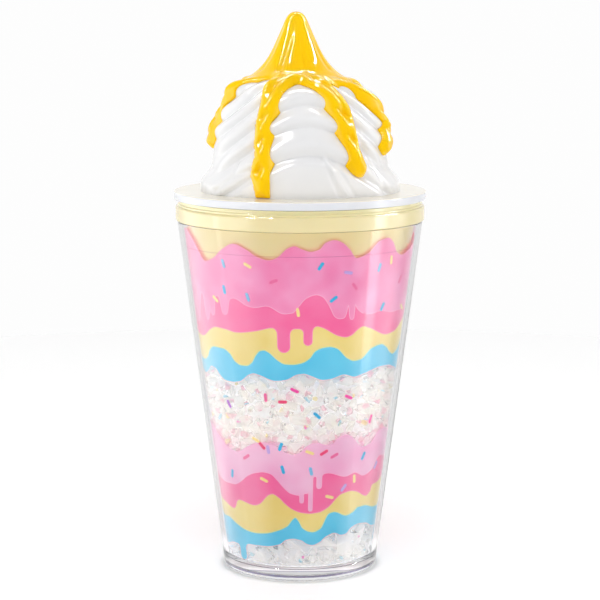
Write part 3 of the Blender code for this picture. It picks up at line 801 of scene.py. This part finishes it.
def makeRing():
    form = ringForm
    bead = form["neckRadius"] + form["beadOut"]
    top = form["bandTop"]
    ring = turned("rimRing", (
        (form["collarRadius"], form["collarBottom"], form["corner"]),
        (form["collarTopRadius"], form["bandBottom"], 0),
        (form["bandRadius"], form["bandBottom"], form["bandFootCorner"]),
        (form["bandRadius"], top, form["bandHeadCorner"]),
        (bead, top + form["beadFoot"], form["finestCorner"]),
        (bead, top + form["beadHead"], form["fineCorner"]),
        (form["neckRadius"], top + form["neckFoot"], form["finestCorner"]),
        (form["neckRadius"], form["neckTop"], form["fineCorner"]),
        (form["mouthRadius"], form["neckTop"], form["fineCorner"]),
        (form["mouthRadius"], form["mouthBottom"], 0),
        (form["bore"], form["seat"], form["corner"]),
        (form["collarInside"], form["seat"], 0),
        (form["collarInside"], form["collarBottom"], form["corner"]),
    ), glossyPlastic("paleYellowPlastic", **form["finish"]))
    keep(ring, "pale_yellow_plastic", "rim_ring")


def makeLid():
    form = lidForm
    inside = form["plugRadius"] - form["plugWall"]
    lid = turned("lidDisc", (
        (0, form["bottom"], 0),
        (inside, form["bottom"], form["insideCorner"]),
        (inside, form["plugBottom"], form["corner"]),
        (form["plugRadius"], form["plugBottom"], form["corner"]),
        (form["plugRadius"], form["bottom"], form["underCorner"]),
        (form["radius"], form["bottom"], form["corner"]),
        (form["radius"], form["top"], form["edge"]),
        (0, form["top"], 0),
    ), glossyPlastic("ivoryPlastic", **form["finish"]))
    keep(lid, "ivory_plastic", "lid")


makeCup()
makeRing()
makeLid()
print("cup, rim and lid")

# Swirl: one skin described by the turn and the length along its outline from the tip

swirlForm = {
    "outline": (
        (0.0000, 0.2293), (0.0013, 0.2290), (0.0025, 0.2278), (0.0040, 0.2249), (0.0057, 0.2208),
        (0.0088, 0.2142), (0.0114, 0.2100), (0.0140, 0.2070), (0.0162, 0.2050), (0.0188, 0.2031),
        (0.0221, 0.2011), (0.0254, 0.1984), (0.0280, 0.1952), (0.0303, 0.1912), (0.0328, 0.1855),
        (0.0348, 0.1790), (0.0359, 0.1725), (0.0364, 0.1680), (0.0364, 0.1579),
    ),
    "turnSteps": 360, "rows": 220,
    "tipLean": -0.00155, "leanHeights": (0.1940, 0.2040),
    "flare": 0.0046, "flareHeights": (0.1610, 0.1690), "flareTurns": (30, 68),
    "valleys": (-88, 86), "valleyDepth": 0.0016, "valleyWidth": 6.0, "valleyFade": (0.1690, 0.1850),
    "valleyRadius": 0.030,
    "archCentre": 5.0, "archDrop": 0.0120,
    "grooves": (0.2275, 0.2190, 0.2105, 0.2032, 0.1942, 0.1860, 0.1748, 0.1560),
    "ridgeDepth": 0.0021, "ridgeFade": (0.1990, 0.2045), "ridgeSkew": 1.45, "ridgePower": 0.9,
    "panelShare": 0.22, "tipCalm": 0.004, "calmTurns": (48, 72), "calmHeights": (0.1700, 0.1860),
    "finish": {  # clean white with soft wet-looking highlights along the rolls
        "low": "E8E8E9", "high": "ECECED", "roughness": 0.12, "scatter": 0.1, "scatterHex": "FFFFFF",
        "gloss": 0.28},
}
creases = (  # (turn, height) points, height of the fold (below 0 for a groove), half width
    (((15.5, 0.1735), (29.0, 0.1587)), 0.0006, 0.0010),
    (((14.0, 0.1732), (24.0, 0.1587)), -0.0004, 0.0008),
    (((18.5, 0.1740), (34.5, 0.1587)), -0.0004, 0.0008),
    (((39.3, 0.1823), (45.0, 0.1765), (50.4, 0.1698)), -0.0008, 0.0010),
    (((44.1, 0.1720), (52.4, 0.1686), (58.3, 0.1597)), -0.0008, 0.0011),
    (((-29.0, 0.1772), (-43.0, 0.1720), (-43.5, 0.1682)), -0.0006, 0.0010),
    (((-31.0, 0.1690), (-43.4, 0.1660), (-51.4, 0.1619), (-56.1, 0.1598)), -0.0009, 0.0012),
    (((-32.0, 0.1664), (-50.1, 0.1602)), 0.0004, 0.0010),
    (((-10.0, 0.2270), (-22.0, 0.2150), (-26.0, 0.2060)), -0.0006, 0.0012),
    (((12.0, 0.2270), (12.0, 0.2170), (14.0, 0.2070)), -0.0005, 0.0014),
    (((70.0, 0.2250), (62.0, 0.2070)), -0.0005, 0.0014),
    (((-75.0, 0.2240), (-68.0, 0.2070)), -0.0005, 0.0014),
    (((180.0, 0.2260), (176.0, 0.2070)), -0.0006, 0.0014),
    (((125.0, 0.2240), (122.0, 0.2070)), -0.0005, 0.0014),
    (((-128.0, 0.2240), (-124.0, 0.2070)), -0.0005, 0.0014),
)


def smoothOutline(points, steps=10):  # a smooth curve through the points: radius, height, length along it
    knots = np.array([points[0], *points, points[-1]])
    share = np.linspace(0, 1, steps, endpoint=False)[:, None]
    runs = []
    for a, b, c, d in zip(knots, knots[1:], knots[2:], knots[3:]):
        bend = (2 * a - 5 * b + 4 * c - d) * share**2 + (3 * b - 3 * c + d - a) * share**3
        runs.append(b + ((c - a) * share + bend) / 2)
    curve = np.concatenate([*runs, knots[-1:]])
    along = np.concatenate([[0], np.cumsum(np.hypot(*np.diff(curve, axis=0).T))])
    return curve[:, 0], curve[:, 1], along


outlineRadii, outlineHeights, outlineAlong = smoothOutline(swirlForm["outline"])
outlineOut = -np.gradient(outlineHeights, outlineAlong)
outlineUp = np.gradient(outlineRadii, outlineAlong)


def lengthAt(height):
    return np.interp(-height, -outlineHeights, outlineAlong)


def radiusAt(along):
    return np.interp(along, outlineAlong, outlineRadii)


def heightAt(along):
    return np.interp(along, outlineAlong, outlineHeights)


def turnFrom(middle, turn):  # the shorter way round, below 0 to the left
    return (turn - middle + 180) % 360 - 180


def turnToMiddle(turn):  # from the front or the back, whichever is nearer
    return np.minimum(np.abs(turnFrom(0, turn)), np.abs(turnFrom(180, turn)))


def valleyShape(turn):
    return sum(np.exp(-(turnFrom(middle, turn) / swirlForm["valleyWidth"]) ** 2)
               for middle in swirlForm["valleys"])


def ridgeShape(turn, height):  # 0 in a groove, 1 on a roll: a long upper face that tucks in quickly below
    form = swirlForm
    peakHeight = height + form["archDrop"] * (1 - np.cos(2 * np.radians(turn - form["archCentre"])))
    shape = np.zeros_like(peakHeight)
    for top, bottom in zip(form["grooves"], form["grooves"][1:]):
        share = np.clip((top - peakHeight) / (top - bottom), 0, 1)
        if bottom == form["grooves"][-1]:
            shape += smoothstep(0, form["panelShare"], share)
        else:
            shape += np.sin(math.pi * share ** form["ridgeSkew"]) ** form["ridgePower"]
    toSide = smoothstep(*form["calmTurns"], turnToMiddle(turn))
    shape = shape * (1 - toSide * (1 - smoothstep(*form["calmHeights"], height)))
    return shape * (1 - valleyShape(turn)) * (1 - smoothstep(*form["ridgeFade"], height))


def distanceToPath(path, turn, along):  # on the skin, in metres, from the path or from the sides of its width
    radius = radiusAt(along)
    nearest = np.full_like(along, np.inf)
    for (aTurn, aHeight, *aWidth), (bTurn, bHeight, *bWidth) in zip(path, path[1:]):
        x = np.radians(turnFrom(aTurn, turn)) * radius
        y = along - lengthAt(aHeight)
        across = np.radians(bTurn - aTurn) * radius
        down = lengthAt(bHeight) - lengthAt(aHeight)
        share = np.clip((x * across + y * down) / (across**2 + down**2), 0, 1)
        distance = np.hypot(x - share * across, y - share * down)
        if aWidth:
            distance = distance - (aWidth[0] + share * (bWidth[0] - aWidth[0]))
        nearest = np.minimum(nearest, distance)
    return nearest


def swirlRelief(turn, along):
    form = swirlForm
    radius, height = radiusAt(along), heightAt(along)
    relief = form["ridgeDepth"] * ridgeShape(turn, height)
    valley = valleyShape(turn) * smoothstep(*form["valleyFade"], height)
    relief -= form["valleyDepth"] * valley * np.clip(radius / form["valleyRadius"], 0, 1)
    for path, fold, halfWidth in creases:
        relief += fold * np.exp(-(distanceToPath(path, turn, along) / halfWidth) ** 2)
    return relief * smoothstep(0, form["tipCalm"], along)


def swirlPoint(turn, along, relief, lift=0):
    form = swirlForm
    radius, height = radiusAt(along), heightAt(along)
    out = np.interp(along, outlineAlong, outlineOut)
    up = np.interp(along, outlineAlong, outlineUp)
    toSide = smoothstep(*form["flareTurns"], turnToMiddle(turn))
    lift = lift + relief
    radius = radius + out * lift + form["flare"] * toSide * (1 - smoothstep(*form["flareHeights"], height))
    height = height + up * lift
    lean = form["tipLean"] * smoothstep(*form["leanHeights"], height)
    angle = np.radians(turn)
    foot = form["outline"][-1][1]
    return np.stack([radius * np.sin(angle) + lean, -radius * np.cos(angle), np.maximum(height, foot)], -1)


def makeSwirl():
    turns = np.arange(swirlForm["turnSteps"]) * 360 / swirlForm["turnSteps"]
    lengths = np.linspace(0, outlineAlong[-1], swirlForm["rows"] + 1)[1:]
    rings = [swirlPoint(np.zeros(1), np.zeros(1), 0)]
    for length in lengths:
        along = np.full_like(turns, length)
        rings.append(swirlPoint(turns, along, swirlRelief(turns, along)))
    rings.append(np.array([[0, 0, swirlForm["outline"][-1][1]]]))
    white = glossyPlastic("whiteGlossPlastic", **swirlForm["finish"])
    swirl = ringMesh("whippedSwirl", rings, white, sharp=60)
    keep(swirl, "white_plastic", "swirl")


makeSwirl()
print("swirl")

# Syrup: poured over the tip, with drips that run down the swirl

syrupForm = {
    "turnSteps": 380, "rows": 208, "gap": 0.0001, "clearOfLid": 0.0004,
    "cutShares": (0.1, 0.9), "least": 1e-6,
    "thickness": 0.0015, "rim": 0.0004, "round": 0.0020, "blend": 0.0010, "bead": 0.0014, "grooveFill": 0.3,
    "roll": 0.0016, "rollAt": 0.0028, "rollWidth": 0.0018,
    "archTurns": (24, 42), "dripHeights": (0.1950, 0.2020),
    "finish": {  # egg-yolk yellow, wet and glassy, without depth
        "low": "FFC800", "high": "FFCE00", "roughness": 0.03, "scatter": 0.0, "scatterHex": "FFC060",
        "gloss": 0.25},
}
capEdge = (  # (turn, height) of the lower edge of the syrup cap
    (-90, 0.2010), (-60, 0.2034), (-37, 0.2040), (-15, 0.2028), (2, 0.2026), (20, 0.2022), (38, 0.2008),
    (60, 0.2020), (90, 0.2012), (130, 0.2020), (170, 0.2024), (-140, 0.2020),
)
syrupDrips = (  # (turn, height, half width) down each drip
    ((-11, 0.2045, 0.0042), (-21, 0.1995, 0.0046), (-24, 0.1905, 0.0039), (-25, 0.1870, 0.0034),
     (-24, 0.1800, 0.0037), (-23, 0.1740, 0.0037), (-24, 0.1685, 0.0045), (-22, 0.1580, 0.0035)),
    ((14, 0.2045, 0.0040), (27, 0.1970, 0.0046), (30, 0.1915, 0.0047), (32, 0.1845, 0.0042),
     (34, 0.1770, 0.0034), (36, 0.1725, 0.0038), (38, 0.1695, 0.0036)),
    ((50, 0.2045, 0.0036), (62, 0.1985, 0.0036), (73, 0.1925, 0.0036), (79, 0.1860, 0.0038),
     (77, 0.1815, 0.0042), (70, 0.1775, 0.0038)),
    ((-50, 0.2065, 0.0036), (-65, 0.2030, 0.0034), (-79, 0.1975, 0.0034), (-89, 0.1905, 0.0032),
     (-93, 0.1845, 0.0036), (-94, 0.1785, 0.0032)),
    ((112, 0.2035, 0.0040), (117, 0.1950, 0.0040), (119, 0.1860, 0.0034), (118, 0.1805, 0.0036)),
    ((150, 0.2035, 0.0042), (154, 0.1940, 0.0042), (152, 0.1850, 0.0034), (155, 0.1760, 0.0038),
     (154, 0.1690, 0.0036)),
    ((-166, 0.2035, 0.0040), (-161, 0.1950, 0.0040), (-162, 0.1885, 0.0036)),
    ((-122, 0.2035, 0.0042), (-127, 0.1950, 0.0040), (-125, 0.1850, 0.0034), (-128, 0.1750, 0.0038),
     (-127, 0.1715, 0.0036)),
)


def syrupCover(turn, along):  # distance in from the syrup's edge, below 0 outside it
    form = syrupForm
    height = heightAt(along)
    knots = sorted(capEdge)
    edge = np.interp(turn, [knot[0] for knot in knots], [knot[1] for knot in knots], period=360)
    fields = [lengthAt(edge) - along]
    fields += [-distanceToPath(path, turn, along) for path in syrupDrips]
    joined = form["blend"] * np.log(np.sum(np.exp(np.array(fields) / form["blend"]), axis=0))
    spread = joined + form["bead"] * (0.5 - ridgeShape(turn, height))
    return np.minimum(spread, outlineAlong[-1] - form["clearOfLid"] - along)


def syrupDepth(cover, turn, height):  # rolled edges along the front arch and down the drips
    form = syrupForm
    front = 1 - smoothstep(*form["archTurns"], np.abs(turnFrom(swirlForm["archCentre"], turn)))
    rolled = np.maximum(front, 1 - smoothstep(*form["dripHeights"], height))
    share = np.clip(cover / form["round"], 0, 1)
    body = form["rim"] + (form["thickness"] - form["rim"]) * np.sqrt(1 - (1 - share) ** 2)
    return body + rolled * form["roll"] * np.exp(-((cover - form["rollAt"]) / form["rollWidth"]) ** 2)


def makeSyrup():
    form = syrupForm
    count = form["turnSteps"]
    lengths = np.linspace(0, outlineAlong[-1], form["rows"] + 1)
    turn = np.tile(np.arange(count) * 360 / count, len(lengths))
    along = np.repeat(lengths, count)
    cover = syrupCover(turn, along)
    cover = np.where(np.abs(cover) < form["least"], form["least"], cover)
    relief = swirlRelief(turn, along)
    height = heightAt(along)
    hollow = swirlForm["ridgeDepth"] * form["grooveFill"] * (1 - ridgeShape(turn, height))
    hollow *= smoothstep(0, form["round"], cover) * (1 - smoothstep(*swirlForm["ridgeFade"], height))
    inner = swirlPoint(turn, along, relief, form["gap"])
    outer = swirlPoint(turn, along, relief, form["gap"] + syrupDepth(cover, turn, height) + hollow)
    made = {}
    points = []
    faces = []

    def cornerPair(a, b=None):  # outer and inner points at a grid corner, or where an edge of the grid is cut
        key = (a, a) if b is None else (min(a, b), max(a, b))
        if key not in made:
            low, high = key
            share = 0 if low == high else np.clip(cover[low] / (cover[low] - cover[high]), *form["cutShares"])
            made[key] = len(points), len(points) + 1
            for side in (outer, inner):
                points.append(side[low] + share * (side[high] - side[low]))
        return made[key]

    def layTriangle(triangle):
        inside = [cover[corner] > 0 for corner in triangle]
        if not any(inside):
            return
        loop = []
        cuts = {}
        for place, corner in enumerate(triangle):
            following = triangle[(place + 1) % 3]
            if inside[place]:
                loop.append(cornerPair(corner))
            if inside[place] != inside[(place + 1) % 3]:
                cuts[inside[place]] = cornerPair(corner, following)
                loop.append(cuts[inside[place]])
        faces.append([pair[0] for pair in loop])
        faces.append([pair[1] for pair in reversed(loop)])
        if cuts:
            leaving, entering = cuts[True], cuts[False]
            faces.append([entering[0], leaving[0], leaving[1], entering[1]])

    # only the squares with a corner under the syrup
    grid = np.arange(len(turn)).reshape(len(lengths), count)
    covered = (cover > 0).reshape(grid.shape)
    touched = covered | np.roll(covered, -1, 1)
    touched = touched[:-1] | touched[1:]
    for row, place in zip(*np.nonzero(touched)):
        beside = (place + 1) % count
        corners = grid[row, place], grid[row + 1, place], grid[row + 1, beside], grid[row, beside]
        if row == 0:
            layTriangle((0, corners[1], corners[2]))
        else:
            layTriangle(corners[:3])
            layTriangle((corners[0], corners[2], corners[3]))
    faces = [[int(corner) for corner in face] for face in faces]
    syrup = meshPiece("pouredSyrup", points, faces, glossyPlastic("syrupEnamel", **form["finish"]), sharp=70)
    keep(syrup, "syrup_enamel", "syrup")


makeSyrup()
print("syrup")

# Clear chips between the film and the inner cup, over a paler core

chipForm = {
    "filmInset": 0.00256, "floor": 0.00605, "kinds": 9, "hullPoints": 11, "seed": 5,
    "wallCorner": 0.0015, "cupGap": 0.0001, "density": 1e6, "reach": (0.75, 1.1),
    "leastStretch": (0.6, 0.75, 0.9), "mostStretch": (0.9, 1.0, 1.25),
}
chipHeaps = (  # name, colours, heights from and to, depths behind the film, spacing, size from and to, seed
    ("chipsClear", "clear", 0.050, 0.094, (0.0016, 0.0036), 0.0040, 0.0026, 0.0046, 1),
    ("chipsGlass", "glass", 0.050, 0.094, (0.0012,), 0.0050, 0.0016, 0.0030, 9),
    ("chipsRose", "rose", 0.050, 0.094, (0.0014,), 0.0060, 0.0014, 0.0026, 2),
    ("chipsSky", "sky", 0.052, 0.090, (0.0010,), 0.0110, 0.0009, 0.0019, 3),
    ("chipsCream", "cream", 0.052, 0.090, (0.0010,), 0.0120, 0.0009, 0.0019, 4),
    ("chipsPane", "glass", 0.0090, 0.024, (0.0016,), 0.0070, 0.0040, 0.0062, 10),
    ("chipsLarge", "white", 0.0080, 0.026, (0.0030, 0.0054), 0.0078, 0.0060, 0.0092, 5),
    ("chipsFine", "white", 0.0066, 0.012, (0.0020,), 0.0034, 0.0018, 0.0030, 7),
    ("chipsSmall", "sky", 0.0085, 0.022, (0.0012,), 0.0150, 0.0010, 0.0018, 6),
    ("chipsMagenta", "magenta", 0.0085, 0.090, (0.0010,), 0.0240, 0.0008, 0.0014, 8),
)
chipColours = {  # colours, share of light that goes through
    "clear": ("FCF8EE", "FFFDF8", 0.5), "glass": ("F8F8F4", "FFFFFF", 0.92),
    "white": ("FFFEFA", "FFFFFF", 0.35), "rose": ("F9C6D2", "FDDDE2", 0.45), "sky": ("A8DCEE", "D4F0F8", 0.3),
    "cream": ("F8E49C", "FBF0C4", 0.3), "magenta": ("F070C0", "F49CD4", 0.2),
}
coreForm = {  # the heap behind the chips that show: (height, depth behind the film) from the floor up
    "profile": ((0.0062, 0.0060), (0.0125, 0.0060), (0.0150, 0.0050), (0.0270, 0.0042), (0.0330, 0.0008),
                (0.0480, 0.0008), (0.0520, 0.0028), (0.0900, 0.0028), (0.0950, 0.0008), (0.1300, 0.0006)),
    "bump": 0.0006, "bumpSize": 0.0028, "turnSteps": 240, "rows": 150, "cupGap": 0.0001, "boreEvery": 6,
}


def chipShapes():  # a few irregular many-sided stones
    random = np.random.default_rng(chipForm["seed"])
    shapes = bpy.data.collections.new("chipShapes")
    for kind in range(chipForm["kinds"]):
        mesh = bmesh.new()
        directions = random.normal(size=(chipForm["hullPoints"], 3))
        directions /= np.linalg.norm(directions, axis=1)[:, None]
        reach = random.uniform(*chipForm["reach"], (chipForm["hullPoints"], 1))
        stretch = random.uniform(chipForm["leastStretch"], chipForm["mostStretch"])
        for point in directions * reach * stretch:
            mesh.verts.new(point)
        hull = bmesh.ops.convex_hull(mesh, input=mesh.verts)
        inside = set(hull["geom_interior"] + hull["geom_unused"])
        inside = [part for part in inside if isinstance(part, bmesh.types.BMVert)]
        bmesh.ops.delete(mesh, geom=inside, context="VERTS")
        data = bpy.data.meshes.new("chipShape%d" % kind)
        mesh.to_mesh(data)
        mesh.free()
        shapes.objects.link(bpy.data.objects.new("chipShape%d" % kind, data))
    return shapes


def chipTree():
    tree, given = newTree("crushedChips", (
        ("Spacing", "Float"), ("Smallest", "Float"), ("Largest", "Float"), ("Seed", "Int"),
        ("Shapes", "Collection"), ("Material", "Material")))
    points = addNode(tree, "GeometryNodeDistributePointsOnFaces", {
        "Mesh": given["Geometry"], "Distance Min": given["Spacing"], "Seed": given["Seed"],
        "Density Max": chipForm["density"]}, distribute_method="POISSON")
    shapes = addNode(tree, "GeometryNodeCollectionInfo", {
        "Collection": given["Shapes"], "Separate Children": True, "Reset Children": True})
    spin = addNode(tree, "FunctionNodeRandomValue", {
        0: (0, 0, 0), 1: (math.tau, math.tau, math.tau), "Seed": given["Seed"]}, data_type="FLOAT_VECTOR")
    size = addNode(tree, "FunctionNodeRandomValue", {
        2: given["Smallest"], 3: given["Largest"], "Seed": given["Seed"]}, data_type="FLOAT")
    placed = addNode(tree, "GeometryNodeInstanceOnPoints", {
        "Points": points.outputs["Points"], "Instance": shapes.outputs[0], "Pick Instance": True,
        "Rotation": spin.outputs[0], "Scale": size.outputs[1]})
    return endTree(tree, placed, given["Material"])


def heapBase(low, high, depths, segments=72, rows=8):  # nested cones behind the film for the chips to lie on
    turns = np.radians(np.arange(segments) * 360 / segments)
    points = []
    faces = []
    for depth in depths:
        start = len(points)
        for height in np.linspace(low, high, rows):
            radius = wallRadius(height) - chipForm["filmInset"] - depth
            points += [(radius * math.sin(turn), -radius * math.cos(turn), height) for turn in turns]
        for row in range(rows - 1):
            for place in range(segments):
                a = start + row * segments + place
                b = start + row * segments + (place + 1) % segments
                faces.append((a, b, b + segments, a + segments))
    base = bpy.data.meshes.new("heapBase")
    base.from_pydata(points, [], faces)
    return base


def pressIn(piece):  # chips flatten against the film, the cup and the floor
    points = np.zeros(len(piece.data.vertices) * 3)
    piece.data.vertices.foreach_get("co", points)
    points = points.reshape(-1, 3)
    height = np.maximum(points[:, 2], chipForm["floor"])
    radius = np.hypot(points[:, 0], points[:, 1])
    outside = wallRadius(height) - chipForm["filmInset"]
    corner = chipForm["floor"] + chipForm["wallCorner"]
    outside -= np.clip(corner - height, 0, None)
    gap = chipForm["cupGap"]
    inside = np.where(height > cupForm["bottom"] - gap, cupRadius(height) + gap, 0)
    factor = np.clip(radius, inside, outside) / np.maximum(radius, 1e-9)
    points[:, 0] *= factor
    points[:, 1] *= factor
    points[:, 2] = height
    piece.data.vertices.foreach_set("co", points.ravel())
    piece.data.shade_flat()
    piece.data.update()


def makeCore():  # a bumpy ring of packed granules between the film and the inner cup
    form = coreForm
    levels = np.linspace(form["profile"][0][0], form["profile"][-1][0], form["rows"])
    depths = np.interp(levels, *np.array(form["profile"]).T)
    turns = np.radians(np.arange(form["turnSteps"]) * 360 / form["turnSteps"])
    outer = []
    inner = []
    for height, depth in zip(levels, depths):
        radius = wallRadius(height) - chipForm["filmInset"] - depth
        cells = [noise.cell_vector(Vector((math.sin(turn) * radius, math.cos(turn) * radius, height))
                                   / form["bumpSize"])[0] for turn in turns]
        outer.append(aroundAxis(radius - form["bump"] * np.array(cells), turns, height))
        if height > cupForm["bottom"]:
            inner.append(aroundAxis(cupRadius(height) + form["cupGap"], turns, height))
    under = cupForm["bottom"] - form["cupGap"]
    bore = inner[::-1][::form["boreEvery"]]
    rings = [np.array([[0, 0, levels[0]]]), *outer, *bore, np.array([[0, 0, under]])]
    core = ringMesh("packedChips", rings, packedPlastic(), sharp=25)
    keep(core, "clear_granules", "ice_granules")


def makeChips():
    shapes = chipShapes()
    tree = chipTree()
    materials = {name: chipPlastic(name + "Polystyrene", *values) for name, values in chipColours.items()}
    for name, colour, low, high, depths, spacing, smallest, largest, seed in chipHeaps:
        piece = grow(name, heapBase(low, high, depths), tree, {
            "Spacing": spacing, "Smallest": smallest, "Largest": largest, "Seed": seed,
            "Shapes": shapes, "Material": materials[colour]})
        pressIn(piece)
        keep(piece, "clear_granules", "ice_granules")
        print(name, len(piece.data.polygons), "faces")
    for shape in list(shapes.objects):
        bpy.data.objects.remove(shape)
    bpy.data.collections.remove(shapes)


makeCore()
makeChips()
print("chips")
